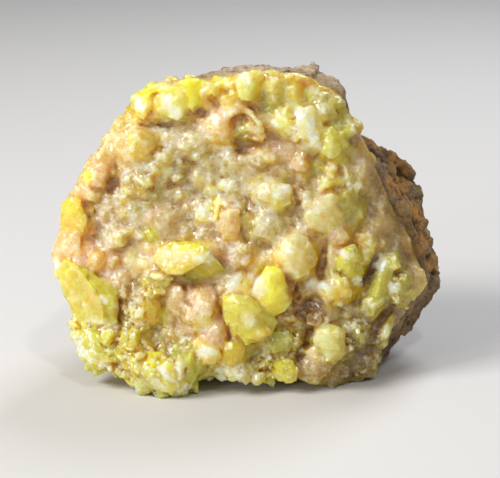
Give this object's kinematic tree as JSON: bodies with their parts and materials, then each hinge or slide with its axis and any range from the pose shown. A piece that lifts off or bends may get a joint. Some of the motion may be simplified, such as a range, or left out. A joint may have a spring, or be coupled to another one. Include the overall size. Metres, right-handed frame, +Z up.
{
  "type": "native sulfur specimen on matrix",
  "caption": "Loose hand specimen: a crust of intergrown yellow native sulfur crystals on brown porous limestone, standing on a flat broken base.",
  "frame": {"origin": "on the plane that the specimen rests on, under the middle of its box", "axes": "+Z up, +X to the right as the crystal face is looked at, +Y away from the viewer into the rock, so the crystal face looks along -Y"},
  "size_m": [0.0666, 0.0368, 0.0522],
  "materials": {
    "sulfur": "resinous to vitreous crystal faces, translucent, dusted with tan clay",
    "marly_limestone": "rough, pitted and earthy, rust stained"
  },
  "bodies": {
    "root": {"sulfur_crust": "sulfur", "host_rock": "marly_limestone"}
  },
  "joints": []
}
